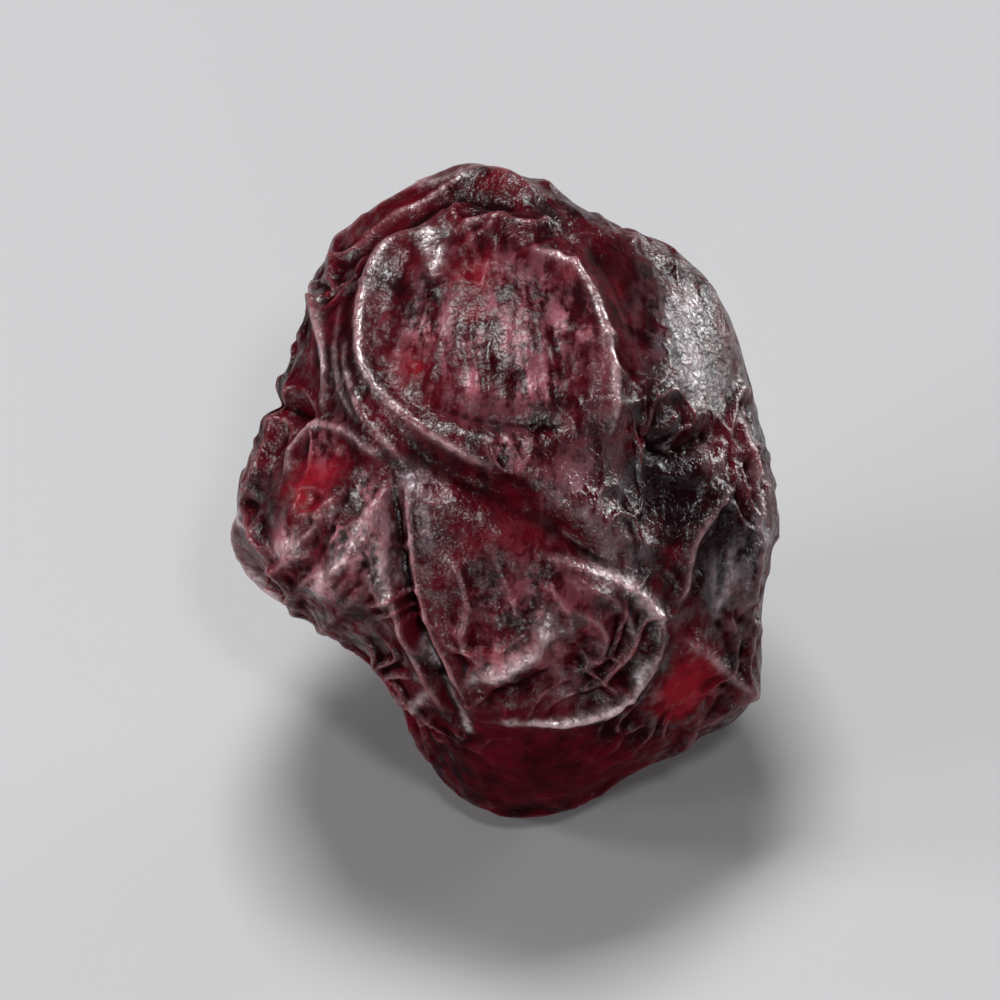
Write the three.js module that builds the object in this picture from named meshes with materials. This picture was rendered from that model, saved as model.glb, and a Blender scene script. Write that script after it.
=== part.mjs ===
// One whole dried cranberry, made as a single closed solid in millimetres, with +Z up.
// The origin is on the floor, under the middle of the berry.
// The berry's own axes are x across it, v along it from its lower end to its upper one, and t out of its
// front. Its long axis rises away from a viewer who stands on the -Y side and looks down on it.

import * as THREE from 'three'
import { mergeVertices } from 'three/addons/utils/BufferGeometryUtils.js'

// Driving sizes of the plain egg that the skin has shrunk onto
const WIDTH = 12.1
const LENGTH = 14.7
const DEPTH = 12.0
const RISE_DEG = 48
const FOOT_DEPTH = 0.45

// The skin is an icosahedron whose edges are cut this many times
const SKIN_CUTS = 21

// A fold narrower than this is carved this wide, so that the facets can follow it
const NARROWEST_FOLD = 0.4

// How closely the pressed sides are rounded into one another
const ROUNDING_POWER = 16

// Sides that were pressed flat while the berry dried: where they face in the berry's own axes, and how much
// of the egg's reach is left there
const PRESSED_SIDES = [
  { facing: [0.78, 0.42, 0.46], left: 0.93 },
  { facing: [0.62, -0.1, 0.78], left: 0.94 },
  { facing: [-0.05, 0.52, 0.85], left: 0.96 },
  { facing: [-0.6, -0.68, 0.42], left: 0.86 },
  { facing: [0.1, -0.86, 0.5], left: 0.95 },
  { facing: [0.2, 0.35, -0.91], left: 0.9 },
  { facing: [-0.8, 0.1, -0.6], left: 0.92 },
  { facing: [0.7, -0.35, -0.62], left: 0.92 }
]

// Broad swellings and hollows: where they face, their height in mm and their spread in degrees
const SWELLINGS = [
  { facing: [-0.72, -0.1, 0.68], height: 0.55, spread: 19 },
  { facing: [-0.87, 0.49, 0], height: -1.75, spread: 15 },
  { facing: [-0.72, 0.3, 0.62], height: -0.35, spread: 10 },
  { facing: [-0.66, -0.75, -0.05], height: -2.4, spread: 23 },
  { facing: [0.76, -0.65, 0.05], height: 0.75, spread: 12 },
  { facing: [0.29, 0.95, 0], height: -0.85, spread: 8 },
  { facing: [0.72, 0.69, 0.1], height: 0.4, spread: 14 },
  { facing: [-0.1, 0.98, 0.1], height: 0.25, spread: 16 },
  { facing: [0.12, -0.36, 0.93], height: 0.35, spread: 19 },
  { facing: [-0.05, 0.5, 0.86], height: 0.3, spread: 18 },
  { facing: [0.62, 0.12, 0.78], height: -0.45, spread: 13 },
  { facing: [0.95, -0.1, 0.25], height: 0.2, spread: 16 },
  { facing: [0, -0.75, -0.66], height: 0.25, spread: 24 },
  { facing: [0.1, -0.3, -0.95], height: 0.5, spread: 26 },
  { facing: [0.75, 0.3, -0.6], height: -0.55, spread: 15 },
  { facing: [-0.55, -0.05, -0.85], height: -0.5, spread: 14 },
  { facing: [-0.36, -0.93, 0], height: -0.65, spread: 14 },
  { facing: [-0.5, 0.87, 0], height: -0.1, spread: 9 },
  { facing: [-0.86, -0.5, 0], height: -0.15, spread: 14 },
  { facing: [-0.5, -0.76, -0.42], height: -0.65, spread: 15 },
  { facing: [-0.93, -0.32, 0.2], height: -0.3, spread: 8 },
  { facing: [0.42, -0.9, 0], height: -0.3, spread: 10 }
]

// Folds of the skin. Each runs through a few places, given in mm across and along the berry as seen from that
// side. A ridge stands up by its height, and a groove lies between two raised lips.
const FRONT = 1
const BACK = -1
const RIDGES = [
  // The rolled lip over the upper end
  {
    side: FRONT,
    height: 0.36,
    reach: 0.3,
    through: [[-4.35, 4.85], [-2.75, 6.4], [-0.7, 7.05], [0.9, 6.65]]
  },
  // The rim of the upper panel
  {
    side: FRONT,
    height: 0.45,
    reach: 0.24,
    through: [[-1.8, 6.2], [-2.9, 5], [-2.95, 2.9], [-1.6, 1.5], [0, 0.6]]
  },
  { side: FRONT, height: 0.42, reach: 0.24, through: [[0.5, 5.8], [1.75, 4.8], [2.35, 2.9], [2.35, 1.3]] },
  // Two upright pleats left of the upper panel
  { side: FRONT, height: 0.4, reach: 0.22, through: [[-4.1, 5.1], [-3.9, 3.5], [-3.85, 1.8]] },
  { side: FRONT, height: 0.35, reach: 0.2, through: [[-3.45, 3.6], [-3.1, 2.1], [-2, 0.75]] },
  // The rims of the left bulge
  { side: FRONT, height: 0.42, reach: 0.24, through: [[-5, 0.5], [-4.2, 1.6], [-3.3, 1.5], [-2.6, 0.9]] },
  {
    side: FRONT,
    height: 0.38,
    reach: 0.22,
    through: [[-5.8, 0], [-5.6, -1.4], [-4.6, -2.5], [-3.1, -3.4], [-1.5, -4.5]]
  },
  // The rim of the lower panel and the soft fold inside it
  {
    side: FRONT,
    height: 0.45,
    reach: 0.24,
    through: [[0.7, -1.1], [2.5, -1.7], [3.4, -2.8], [2.5, -4.4], [0, -4.9]]
  },
  { side: FRONT, height: 0.4, reach: 0.35, through: [[-0.6, -3.9], [0.2, -3.5], [0.9, -3.1]] },
  // The crumpled right flank
  { side: FRONT, height: 0.25, reach: 0.26, through: [[5.1, 2.3], [5.45, 1], [5.6, -1], [5.2, -2.9]] },
  { side: FRONT, height: 0.34, reach: 0.22, through: [[3.9, -2.3], [4.1, -0.9], [5, 0.4]] },
  { side: FRONT, height: 0.28, reach: 0.26, through: [[4, -3], [4.6, -3.5], [5.1, -4]] },
  // Long folds over the back
  { side: BACK, height: 0.4, reach: 0.3, through: [[-0.6, 4.2], [-0.9, 1.6], [0.2, -0.8], [-0.2, -3.4]] },
  { side: BACK, height: 0.36, reach: 0.28, through: [[4.4, 3.2], [4.3, 0.8], [5.1, -1.6]] },
  { side: BACK, height: 0.34, reach: 0.28, through: [[-5.2, 2.4], [-4.6, -0.2], [-4.9, -2.4]] }
]
const GROOVES = [
  // Under the rolled lip
  { side: FRONT, depth: 0.35, reach: 0.3, through: [[-3.6, 5.3], [-2.3, 6.2], [-0.9, 6.6], [0.6, 6.5]] },
  // The deep slanting groove between the upper and the lower panel
  { side: FRONT, depth: 0.6, reach: 0.42, through: [[-2.2, 1.3], [-0.9, 0.6], [1.3, -0.75], [3, -2]] },
  // The double crease on the right of the left bulge
  { side: FRONT, depth: 0.5, reach: 0.26, through: [[-2.4, 0.8], [-2.25, -1.5], [-1.6, -3.5], [-0.8, -5.2]] },
  // The dark fold of the right flank, and the valley between the upper panel and the flank's facet
  { side: FRONT, depth: 0.4, reach: 0.3, through: [[3, 1.8], [3.6, 1.3], [4.2, 1.3], [4.8, 1.7]] },
  { side: FRONT, depth: 0.32, reach: 0.5, through: [[1.7, 6.1], [2.6, 5], [3, 3.6], [2.9, 2.2]] },
  // Long folds over the back
  { side: BACK, depth: 0.6, reach: 0.4, through: [[-3.9, 4.4], [-2.6, 2], [-2.9, -0.6], [-1.7, -3]] },
  { side: BACK, depth: 0.55, reach: 0.38, through: [[1.6, 4.1], [2.4, 1.5], [1.9, -0.9], [3.4, -3.1]] }
]

// A groove's lips have this share of its depth
const LIP_SHARE = 0.3

// A fold fades out over this share of its length at either end, from a small rest of its height
const FADE_SHARE = 0.18
const FADE_START = -0.02

// The course of a fold has this many steps between two places
const COURSE_STEPS = 6

// Where folds cross, their heights grow together only up to this
const RELIEF_LIMIT = 0.55

// Smooth panels between the folds of the front, where the small wrinkles are faint: place, radius and what is
// left of the wrinkles there. Each panel's edge lies between two shares of its radius.
const SMOOTH_PANELS = [
  { at: [-0.3, 3.6], radius: 2.8, left: 0.03 },
  { at: [2.9, 4.6], radius: 1.6, left: 0.12 },
  { at: [1.5, 6.4], radius: 1.5, left: 0.15 },
  { at: [-3.7, 3.4], radius: 1.6, left: 0.3 },
  { at: [-2.3, 6], radius: 1.6, left: 0.3 },
  { at: [0.3, 6.6], radius: 1.2, left: 0.4 },
  { at: [4.1, 3.6], radius: 1.9, left: 0.05 },
  { at: [5.3, 0], radius: 2.4, left: 0.25 },
  { at: [-4.1, -0.8], radius: 2, left: 0.25 },
  { at: [0.7, -2.6], radius: 2.6, left: 0.2 },
  { at: [1.8, 0.6], radius: 1.6, left: 0.1 },
  { at: [0.8, -6], radius: 2.4, left: 0.25 }
]
const PANEL_EDGE = [0.75, 1.15]

// What is left of the wrinkles where the skin is stretched around the berry's widest part, and how far towards
// the front or the back they are whole again
const STRETCHED_LEFT = 0.45
const STRETCHED_EDGE = [0.05, 0.45]

// The net of smaller wrinkles over the whole skin: the number of its cells, how far each cell is pushed from
// an even spread, and the height and width of the ridge between two cells
const WRINKLE_CELLS = 90
const CELL_PUSH = 0.7
const WRINKLE_HEIGHT = 0.42
const WRINKLE_WIDTH = 0.5
const WRINKLE_SEED = 41

// A wrinkle cell's middle lies as far below the skin as this share of the ridge's height
const SUNKEN_SHARE = 0.35

// Slow waves bend the net and make it stronger or fainter: their number in each field, their pitch in mm, how
// far they bend the net, and the net's strength
const WAVES = 12
const BEND = 0.09
const BEND_PITCH = 4.5
const STRENGTH_PITCH = 6
const MEAN_STRENGTH = 0.6
const STRENGTH_SWING = 0.5
const FAINTEST = 0.05
const STRONGEST = 1.2

// The round scar of the flower end, a shallow dish with a raised rim
const SCAR_FACING = [0.12, 0.7, -0.7]
const SCAR_RADIUS = 1.15
const SCAR_RIM_HEIGHT = 0.22
const SCAR_RIM_WIDTH = 0.32
const SCAR_DEPTH = 0.45
const DISH_FLOOR_SHARE = 0.35

// The pleats that run towards the scar, and where the wrinkles begin around it, as shares of its radius
const SCAR_PLEATS = 9
const SCAR_PLEAT_HEIGHT = 0.14
const PLEAT_BAND = { middle: 2, width: 0.7 }
const WRINKLES_BEGIN = [1.2, 2.2]

const HALF = new THREE.Vector3(WIDTH / 2, LENGTH / 2, DEPTH / 2)
const MEAN_RADIUS = (HALF.x + HALF.y + HALF.z) / 3

const unit = (numbers) => new THREE.Vector3(...numbers).normalize()
const bell = (distance, width) => Math.exp(-((distance / width) ** 2))
const { smoothstep, clamp, degToRad } = THREE.MathUtils

// Repeatable draws from 0 to 1
const DRAW_FACTOR = 16807
const DRAW_MODULUS = 2 ** 31 - 1
function drawsFrom(seed) {
  let state = seed
  return () => {
    state = (state * DRAW_FACTOR) % DRAW_MODULUS
    return state / DRAW_MODULUS
  }
}

// A smooth field that swings around 0 over the skin, made of plane waves in drawn directions
function wavesOf(pitch, draw) {
  const waves = []
  for (let i = 0; i < WAVES; i++) {
    const up = 2 * draw() - 1
    const turn = 2 * Math.PI * draw()
    const flat = Math.sqrt(1 - up * up)
    const run = new THREE.Vector3(flat * Math.cos(turn), flat * Math.sin(turn), up)
    waves.push({ run: run.multiplyScalar((2 * Math.PI) / pitch), start: 2 * Math.PI * draw() })
  }
  return (p) => {
    const swing = waves.reduce((sum, { run, start }) => sum + Math.cos(run.dot(p) + start), 0)
    return swing * Math.sqrt(2 / WAVES)
  }
}

// How far the egg reaches from its centre in a direction
function eggReach(d) {
  return 1 / Math.hypot(d.x / HALF.x, d.y / HALF.y, d.z / HALF.z)
}

// How far the berry's main form reaches: the egg, with its pressed sides, swellings and hollows
const sides = PRESSED_SIDES.map(({ facing, left }) => {
  const n = unit(facing)
  const support = Math.hypot(n.x * HALF.x, n.y * HALF.y, n.z * HALF.z)
  return { n, distance: left * support }
})
const swellings = SWELLINGS.map(({ facing, height, spread }) => {
  return { n: unit(facing), height, spread: degToRad(spread) }
})

function mainReach(d) {
  let sum = eggReach(d) ** -ROUNDING_POWER
  for (const { n, distance } of sides) {
    sum += (Math.max(n.dot(d), 0) / distance) ** ROUNDING_POWER
  }
  let reach = sum ** (-1 / ROUNDING_POWER)
  for (const { n, height, spread } of swellings) {
    reach += height * bell(n.angleTo(d), spread)
  }
  return reach
}

// A point moved straight in or out onto the main form
function ontoMainForm(p) {
  const d = p.clone().normalize()
  return d.multiplyScalar(mainReach(d))
}

// The point of the main form that is seen at a place, in mm across and along, from the front or the back.
// Each round brings it nearer to the form.
const SIGHT_ROUNDS = 12
function pointSeenAt([across, along], side) {
  const seen = new THREE.Vector3(across, along, 0)
  for (let round = 0; round < SIGHT_ROUNDS; round++) {
    const reach = mainReach(seen.clone().normalize())
    const left = reach * reach - across * across - along * along
    seen.z = side * Math.sqrt(Math.max(left, 0))
  }
  return ontoMainForm(seen)
}

// A fold's course over the main form, as a list of points close together
function courseOf({ side, through }) {
  const places = through.map((place) => pointSeenAt(place, side))
  const curve = new THREE.CatmullRomCurve3(places, false, 'catmullrom', 0.5)
  return curve.getPoints(COURSE_STEPS * (through.length - 1)).map(ontoMainForm)
}

// How far a point is from a course, and how far along the course the nearest point lies, from 0 to 1
const nearest = new THREE.Vector3()
const span = new THREE.Line3()
function measureFrom(course, p) {
  let best = { distance: Infinity, along: 0 }
  for (let i = 0; i + 1 < course.length; i++) {
    span.set(course[i], course[i + 1])
    const share = span.closestPointToPointParameter(p, true)
    const distance = span.at(share, nearest).distanceTo(p)
    if (distance < best.distance) {
      best = { distance, along: (i + share) / (course.length - 1) }
    }
  }
  return best
}

// The shapes across a fold: a rounded ridge, and a groove between two low lips
function ridgeAcross({ height, reach }, distance) {
  return height * bell(distance, Math.max(reach, NARROWEST_FOLD))
}

function grooveAcross({ depth, reach }, distance) {
  const width = Math.max(reach, NARROWEST_FOLD)
  const lip = bell(distance - 2 * width, width)
  return depth * (LIP_SHARE * lip - bell(distance, width))
}

// How far all the folds together raise a point
const withCourse = (across) => (fold) => ({ fold, across, course: courseOf(fold) })
const folds = [...RIDGES.map(withCourse(ridgeAcross)), ...GROOVES.map(withCourse(grooveAcross))]
function foldRelief(p) {
  let relief = 0
  for (const { fold, across, course } of folds) {
    const { distance, along } = measureFrom(course, p)
    relief += across(fold, distance) * smoothstep(Math.min(along, 1 - along), FADE_START, FADE_SHARE)
  }
  return relief
}

// Cells spread evenly over the sphere by the golden angle, each pushed a little from its place
function cellCentres(count, draw) {
  const golden = Math.PI * (3 - Math.sqrt(5))
  const gap = Math.sqrt((4 * Math.PI) / count)
  const centres = []
  for (let i = 0; i < count; i++) {
    const up = 1 - (2 * i + 1) / count
    const flat = Math.sqrt(1 - up * up)
    const centre = new THREE.Vector3(flat * Math.cos(golden * i), flat * Math.sin(golden * i), up)
    const push = new THREE.Vector3(draw() - 0.5, draw() - 0.5, draw() - 0.5)
    centres.push(centre.addScaledVector(push, CELL_PUSH * gap).normalize())
  }
  return centres
}

// The net of wrinkles: a ridge wherever two cells meet, bent by slow waves and of uneven height
const draw = drawsFrom(WRINKLE_SEED)
const centres = cellCentres(WRINKLE_CELLS, draw)
const [bendX, bendY, bendZ] = [0, 1, 2].map(() => wavesOf(BEND_PITCH, draw))
const strength = wavesOf(STRENGTH_PITCH, draw)
function wrinkleRelief(d, p) {
  const push = new THREE.Vector3(bendX(p), bendY(p), bendZ(p))
  const bent = d.clone().addScaledVector(push, BEND).normalize()
  let first = Infinity
  let second = Infinity
  for (const centre of centres) {
    const distance = centre.distanceTo(bent)
    if (distance < first) {
      second = first
      first = distance
    } else if (distance < second) {
      second = distance
    }
  }
  const ridge = bell((second - first) * MEAN_RADIUS, WRINKLE_WIDTH)
  const share = clamp(MEAN_STRENGTH + STRENGTH_SWING * strength(p), FAINTEST, STRONGEST)
  return WRINKLE_HEIGHT * (ridge - SUNKEN_SHARE) * share
}

// What the smooth panels leave of the wrinkles at a point
const panels = SMOOTH_PANELS.map(({ at, radius, left }) => {
  return { middle: pointSeenAt(at, FRONT), edge: PANEL_EDGE.map((part) => part * radius), left }
})
function wrinklesLeft(p) {
  let share = 1
  for (const { middle, edge, left } of panels) {
    const inside = 1 - smoothstep(middle.distanceTo(p), ...edge)
    share *= 1 - (1 - left) * inside
  }
  return share
}

// The scar's dish and rim, and the pleats around it
const scarFacing = unit(SCAR_FACING)
const scarMiddle = scarFacing.clone().multiplyScalar(mainReach(scarFacing))
const scarAcross = new THREE.Vector3(1, 0, 0).cross(scarFacing).normalize()
const scarAlong = scarFacing.clone().cross(scarAcross)
function scarRelief(p) {
  const from = p.clone().sub(scarMiddle)
  const shares = from.length() / SCAR_RADIUS
  const dish = 1 - smoothstep(shares, DISH_FLOOR_SHARE, 1)
  const rim = bell(from.length() - SCAR_RADIUS, SCAR_RIM_WIDTH)
  const turn = Math.atan2(from.dot(scarAlong), from.dot(scarAcross))
  const pleats = Math.cos(SCAR_PLEATS * turn) * bell(shares - PLEAT_BAND.middle, PLEAT_BAND.width)
  return SCAR_RIM_HEIGHT * rim - SCAR_DEPTH * dish + SCAR_PLEAT_HEIGHT * pleats
}

// The wrinkles give way to the scar around it
function clearOfScar(p) {
  return smoothstep(p.distanceTo(scarMiddle) / SCAR_RADIUS, ...WRINKLES_BEGIN)
}

// The wrinkles are lower where the skin is stretched
function slackness(d) {
  return STRETCHED_LEFT + (1 - STRETCHED_LEFT) * smoothstep(Math.abs(d.z), ...STRETCHED_EDGE)
}

// The skin's point in a direction from the centre, in the berry's own axes
function skinPoint(d) {
  const p = d.clone().multiplyScalar(mainReach(d))
  const wrinkles = wrinkleRelief(d, p) * wrinklesLeft(p) * clearOfScar(p) * slackness(d)
  const relief = foldRelief(p) + wrinkles + scarRelief(p)
  return p.addScaledVector(d, RELIEF_LIMIT * Math.tanh(relief / RELIEF_LIMIT))
}

// Turns the berry from its own axes to the way it lies, presses the flat spot that it rests on, and puts the
// origin under its middle
function layDown(geometry) {
  geometry.rotateX(degToRad(RISE_DEG))
  geometry.computeBoundingBox()
  const { min, max } = geometry.boundingBox
  const floor = min.z + FOOT_DEPTH
  geometry.translate(-(min.x + max.x) / 2, -(min.y + max.y) / 2, -floor)
  const places = geometry.attributes.position
  for (let i = 0; i < places.count; i++) {
    places.setZ(i, Math.max(places.getZ(i), 0))
  }
}

// The skin: an even ball of small triangles, each corner moved out to the berry's surface. Corners of the
// ball closer together than this are one corner.
const SAME_CORNER = 1e-4
function makeSkin() {
  const ball = new THREE.IcosahedronGeometry(1, SKIN_CUTS)
  ball.deleteAttribute('normal')
  ball.deleteAttribute('uv')
  const skin = mergeVertices(ball, SAME_CORNER)
  const places = skin.attributes.position
  for (let i = 0; i < places.count; i++) {
    const facing = new THREE.Vector3().fromBufferAttribute(places, i).normalize()
    const { x, y, z } = skinPoint(facing)
    places.setXYZ(i, x, y, z)
  }
  layDown(skin)
  skin.computeVertexNormals()
  return skin
}

const berry = new THREE.Mesh(
  makeSkin(),
  new THREE.MeshStandardMaterial({ color: 0x3d0f16, roughness: 0.38, metalness: 0 })
)
berry.name = 'berry'

const group = new THREE.Group()
group.add(berry)

export default group
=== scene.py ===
import math
from types import SimpleNamespace

import bmesh
import bpy
import numpy as np
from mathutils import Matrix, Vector, noise


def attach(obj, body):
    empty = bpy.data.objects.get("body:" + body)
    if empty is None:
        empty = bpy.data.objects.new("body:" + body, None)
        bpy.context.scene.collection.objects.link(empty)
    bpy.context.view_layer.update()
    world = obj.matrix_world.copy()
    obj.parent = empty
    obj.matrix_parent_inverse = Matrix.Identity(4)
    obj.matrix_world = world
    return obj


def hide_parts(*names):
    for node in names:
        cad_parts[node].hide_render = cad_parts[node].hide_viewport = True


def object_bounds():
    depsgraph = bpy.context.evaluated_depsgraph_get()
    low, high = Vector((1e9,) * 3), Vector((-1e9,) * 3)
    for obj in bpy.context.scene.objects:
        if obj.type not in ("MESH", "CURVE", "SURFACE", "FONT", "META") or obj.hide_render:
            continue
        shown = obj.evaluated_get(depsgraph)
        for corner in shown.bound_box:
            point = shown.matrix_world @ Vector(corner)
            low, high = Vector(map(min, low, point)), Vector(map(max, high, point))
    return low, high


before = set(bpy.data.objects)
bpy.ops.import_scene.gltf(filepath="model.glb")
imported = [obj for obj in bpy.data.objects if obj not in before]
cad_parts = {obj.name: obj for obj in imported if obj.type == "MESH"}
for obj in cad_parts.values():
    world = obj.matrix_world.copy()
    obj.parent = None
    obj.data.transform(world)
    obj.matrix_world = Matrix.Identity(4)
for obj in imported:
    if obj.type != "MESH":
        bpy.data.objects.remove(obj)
cad_low, cad_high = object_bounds()

# The berry is shaped in millimetres and brought to the frame's metres at the end. Its own axes are x
# across it, v along it from its lower end to its upper one, and t out of its front, as three columns of
# an array.
MM = 0.001

# Driving sizes of the plain egg that the skin has shrunk onto, how steeply its long axis rises, and how
# much of it is pressed flat where it rests
WIDTH = 12.1
LENGTH = 14.7
DEPTH = 12.0
RISE_DEG = 48
FOOT_DEPTH = 0.45
HALF = np.array([WIDTH, LENGTH, DEPTH]) / 2
MEAN_RADIUS = HALF.mean()

# The skin starts as an icosahedron halved this many times less one, and each small edge is then cut this
# many times. Its finished corners are drawn towards their neighbours by this share.
BALL_SUBDIVISIONS = 5
SKIN_CUTS = 5
SMOOTHING = 0.35

# How closely the pressed sides are rounded into one another
ROUNDING_POWER = 16

# Sides that were pressed flat while the berry dried: where they face, and the share of the egg's reach
# that is left
PRESSED_SIDES = [
    ((0.78, 0.42, 0.46), 0.93),
    ((0.62, -0.1, 0.78), 0.94),
    ((-0.05, 0.52, 0.85), 0.96),
    ((-0.6, -0.68, 0.42), 0.86),
    ((0.1, -0.86, 0.5), 0.95),
    ((0.2, 0.35, -0.91), 0.9),
    ((-0.8, 0.1, -0.6), 0.92),
    ((0.7, -0.35, -0.62), 0.92),
]

# Broad swellings and hollows: where they face, their height in mm and their spread in degrees
SWELLINGS = [
    ((-0.72, -0.1, 0.68), 0.55, 19),
    ((-0.87, 0.49, 0), -1.75, 15),
    ((-0.72, 0.3, 0.62), -0.35, 10),
    ((-0.66, -0.75, -0.05), -2.4, 23),
    ((0.76, -0.65, 0.05), 0.75, 12),
    ((0.29, 0.95, 0), -0.85, 8),
    ((0.72, 0.69, 0.1), 0.4, 14),
    ((-0.1, 0.98, 0.1), 0.25, 16),
    ((0.12, -0.36, 0.93), 0.35, 19),
    ((-0.05, 0.5, 0.86), 0.3, 18),
    ((0.62, 0.12, 0.78), -0.45, 13),
    ((0.95, -0.1, 0.25), 0.2, 16),
    ((0, -0.75, -0.66), 0.25, 24),
    ((0.1, -0.3, -0.95), 0.5, 26),
    ((0.75, 0.3, -0.6), -0.55, 15),
    ((-0.55, -0.05, -0.85), -0.5, 14),
    ((-0.36, -0.93, 0), -0.65, 14),
    ((-0.5, 0.87, 0), -0.1, 9),
    ((-0.86, -0.5, 0), -0.15, 14),
    ((-0.5, -0.76, -0.42), -0.65, 15),
    ((-0.93, -0.32, 0.2), -0.3, 8),
    ((0.42, -0.9, 0), -0.3, 10),
]

# Folds of the skin: their side, their height and their reach to each side in mm, and a few places that
# they run through, in mm across and along the berry as seen from that side. A ridge stands up by its
# height, and a groove lies between two raised lips.
FRONT = 1
BACK = -1
RIDGES = [
    # The rolled lip over the upper end
    (FRONT, 0.36, 0.3, [(-4.35, 4.85), (-2.75, 6.4), (-0.7, 7.05), (0.9, 6.65)]),
    # The rim of the upper panel
    (FRONT, 0.45, 0.24, [(-1.8, 6.2), (-2.9, 5), (-2.95, 2.9), (-1.6, 1.5), (0, 0.6)]),
    (FRONT, 0.42, 0.24, [(0.5, 5.8), (1.75, 4.8), (2.35, 2.9), (2.35, 1.3)]),
    # Two upright pleats left of the upper panel
    (FRONT, 0.4, 0.22, [(-4.1, 5.1), (-3.9, 3.5), (-3.85, 1.8)]),
    (FRONT, 0.35, 0.2, [(-3.45, 3.6), (-3.1, 2.1), (-2, 0.75)]),
    # The rims of the left bulge
    (FRONT, 0.42, 0.24, [(-5, 0.5), (-4.2, 1.6), (-3.3, 1.5), (-2.6, 0.9)]),
    (FRONT, 0.38, 0.22, [(-5.8, 0), (-5.6, -1.4), (-4.6, -2.5), (-3.1, -3.4), (-1.5, -4.5)]),
    # The rim of the lower panel and the soft fold inside it
    (FRONT, 0.45, 0.24, [(0.7, -1.1), (2.5, -1.7), (3.4, -2.8), (2.5, -4.4), (0, -4.9)]),
    (FRONT, 0.4, 0.35, [(-0.6, -3.9), (0.2, -3.5), (0.9, -3.1)]),
    # The crumpled right flank
    (FRONT, 0.25, 0.26, [(5.1, 2.3), (5.45, 1), (5.6, -1), (5.2, -2.9)]),
    (FRONT, 0.34, 0.22, [(3.9, -2.3), (4.1, -0.9), (5, 0.4)]),
    (FRONT, 0.28, 0.26, [(4, -3), (4.6, -3.5), (5.1, -4)]),
    # Long folds over the back
    (BACK, 0.4, 0.3, [(-0.6, 4.2), (-0.9, 1.6), (0.2, -0.8), (-0.2, -3.4)]),
    (BACK, 0.36, 0.28, [(4.4, 3.2), (4.3, 0.8), (5.1, -1.6)]),
    (BACK, 0.34, 0.28, [(-5.2, 2.4), (-4.6, -0.2), (-4.9, -2.4)]),
]
GROOVES = [
    (FRONT, 0.35, 0.3, [(-3.6, 5.3), (-2.3, 6.2), (-0.9, 6.6), (0.6, 6.5)]),
    # The deep slanting groove between the upper and the lower panel
    (FRONT, 0.6, 0.42, [(-2.2, 1.3), (-0.9, 0.6), (1.3, -0.75), (3, -2)]),
    # The double crease on the right of the left bulge
    (FRONT, 0.34, 0.26, [(-2.4, 0.8), (-2.25, -1.5), (-1.6, -3.5), (-0.8, -5.2)]),
    # The dark fold of the right flank, and the valley between the upper panel and the flank's facet
    (FRONT, 0.4, 0.3, [(3, 1.8), (3.6, 1.3), (4.2, 1.3), (4.8, 1.7)]),
    (FRONT, 0.32, 0.5, [(1.7, 6.1), (2.6, 5), (3, 3.6), (2.9, 2.2)]),
    # Long folds over the back
    (BACK, 0.6, 0.4, [(-3.9, 4.4), (-2.6, 2), (-2.9, -0.6), (-1.7, -3)]),
    (BACK, 0.55, 0.38, [(1.6, 4.1), (2.4, 1.5), (1.9, -0.9), (3.4, -3.1)]),
]

# The share of its course in which a fold fades at each end, and how far from its course it is still felt
FADE_SHARE = 0.18
FOLD_MARGIN = 2.5

# A ridge's section: a broad shoulder with this share of its height and a narrow crest on it, and the
# widths of both for each mm of its reach
SHOULDER_SHARE = 0.62
SHOULDER_WIDTH = 1.6
CREST_WIDTH = 0.65

# A groove's section: a hollow with this share of its depth and a narrow cut in it, the widths of both
# for each mm of its reach, and the height of its lips beside its depth
HOLLOW_SHARE = 0.55
HOLLOW_WIDTH = 1.2
CUT_WIDTH = 0.5
LIP_SHARE = 0.3

# The pale line along a fold's crest, partly the paler thin skin there and partly painted highlight: half
# its width for each mm of the fold's reach, the height of a fold that has it in full, and how fast it
# weakens on lower folds
LINE_SHARE = 0.32
FULL_LINE_HEIGHT = 0.42
LINE_POWER = 1.5

# Where folds cross, their heights grow together only up to this
RELIEF_LIMIT = 0.55

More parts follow.
